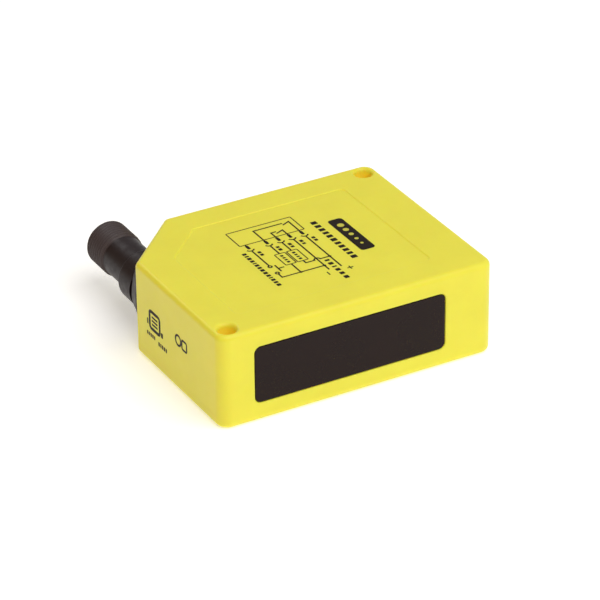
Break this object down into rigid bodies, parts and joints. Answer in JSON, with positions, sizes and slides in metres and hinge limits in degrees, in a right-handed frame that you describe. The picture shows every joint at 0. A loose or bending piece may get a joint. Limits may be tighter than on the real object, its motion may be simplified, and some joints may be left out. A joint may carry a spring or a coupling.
{
  "type": "photoelectric sensor",
  "caption": "Yellow rectangular adjustable-field photoelectric sensor with a black front window, a chamfered corner and a swivelling threaded connector.",
  "frame": {"origin": "midway between the two mounting holes, on the mounting face", "axes": "+Z out of the printed face, away from the mounting face; -Y out of the window; +X out of the control panel"},
  "size_m": [0.075, 0.077, 0.025],
  "materials": {
    "housing_yellow": "fine satin moulded, faintly translucent",
    "window_black": "polished infrared-pass acrylic",
    "connector_black": "satin moulded nylon",
    "panel_grey": "fine textured",
    "clear_plastic": "polished clear polycarbonate",
    "seal_rubber": "moulded nitrile",
    "brass": "turned",
    "button_plastic": "satin",
    "black_plastic": "moulded",
    "white_plastic": "natural acetal",
    "steel": "zinc plated",
    "gold_contact": "gold plated",
    "board_green": "solder mask over glass epoxy",
    "led_resin": "moulded resin",
    "component_black": "moulded epoxy",
    "capacitor_can": "drawn can",
    "wire_insulation": "extruded PVC, one colour to each wire"
  },
  "bodies": {
    "housing": {"housing_body": "housing_yellow", "housing_cover": "housing_yellow", "front_window": "window_black", "control_panel": "panel_grey", "light_pipes": "clear_plastic", "button_seals": "seal_rubber", "adjuster_bush": "brass", "tactile_switches": "steel", "status_leds": "led_resin", "panel_pcb": "board_green", "board_header": "black_plastic", "main_pcb": "board_green", "board_screws": "steel", "microcontroller": "component_black", "power_inductor": "component_black", "filter_capacitors": "capacitor_can", "output_transistors": "component_black", "surge_suppressors": "component_black", "wire_header": "white_plastic", "housing_wires": "wire_insulation", "optics_frame": "black_plastic", "optics_screws": "steel", "gearbox_plate": "black_plastic", "gearbox_screws": "steel", "guide_rods": "steel", "receiver_lens": "clear_plastic", "emitter_lens": "clear_plastic", "emitter_led": "led_resin"},
    "connector": {"swivel_elbow": "connector_black", "swivel_o_ring": "seal_rubber", "swivel_clip": "steel", "contact_insert": "black_plastic", "contact_pins": "gold_contact", "connector_wires": "wire_insulation"},
    "adjuster": {"adjuster_screw": "brass", "adjuster_gear": "white_plastic", "adjuster_o_ring": "seal_rubber"},
    "drive_screw": {"lead_screw": "steel", "screw_gear": "white_plastic"},
    "carriage": {"receiver_carriage": "black_plastic", "carriage_nut": "brass", "receiver_detector": "component_black"},
    "delay_key": {"delay_button": "button_plastic", "delay_switch_plunger": "black_plastic"},
    "mode_key": {"mode_button": "button_plastic", "mode_switch_plunger": "black_plastic"}
  },
  "joints": [
    {"name": "connector_swivel", "type": "hinge", "parent": "housing", "child": "connector", "pos_m": [-0.02915, 0.02165, 0.0125], "axis": [0.7071, -0.7071, 0], "range_deg": [0, 180]},
    {"name": "adjuster_turn", "type": "hinge", "parent": "housing", "child": "adjuster", "pos_m": [0.03, -0.01804, 0.0125], "axis": [-1, 0, 0], "range_deg": [-360, 360]},
    {"name": "drive_screw_turn", "type": "hinge", "parent": "housing", "child": "drive_screw", "pos_m": [0.01, -0.008, 0.0125], "axis": [-1, 0, 0], "range_deg": [-841, 841]},
    {"name": "carriage_slide", "type": "slide", "parent": "housing", "child": "carriage", "axis": [1, 0, 0], "range_m": [-0.00188, 0.00188]},
    {"name": "delay_press", "type": "slide", "parent": "housing", "child": "delay_key", "axis": [-1, 0, 0], "range_m": [0, 0.0006], "stiffness_N_per_m": 900},
    {"name": "mode_press", "type": "slide", "parent": "housing", "child": "mode_key", "axis": [-1, 0, 0], "range_m": [0, 0.0006], "stiffness_N_per_m": 900}
  ],
  "couplings": [
    {"joint": "drive_screw_turn", "follows": "adjuster_turn", "ratio": -2.3333},
    {"joint": "carriage_slide", "follows": "adjuster_turn", "m_per_rad": -0.00029709}
  ]
}
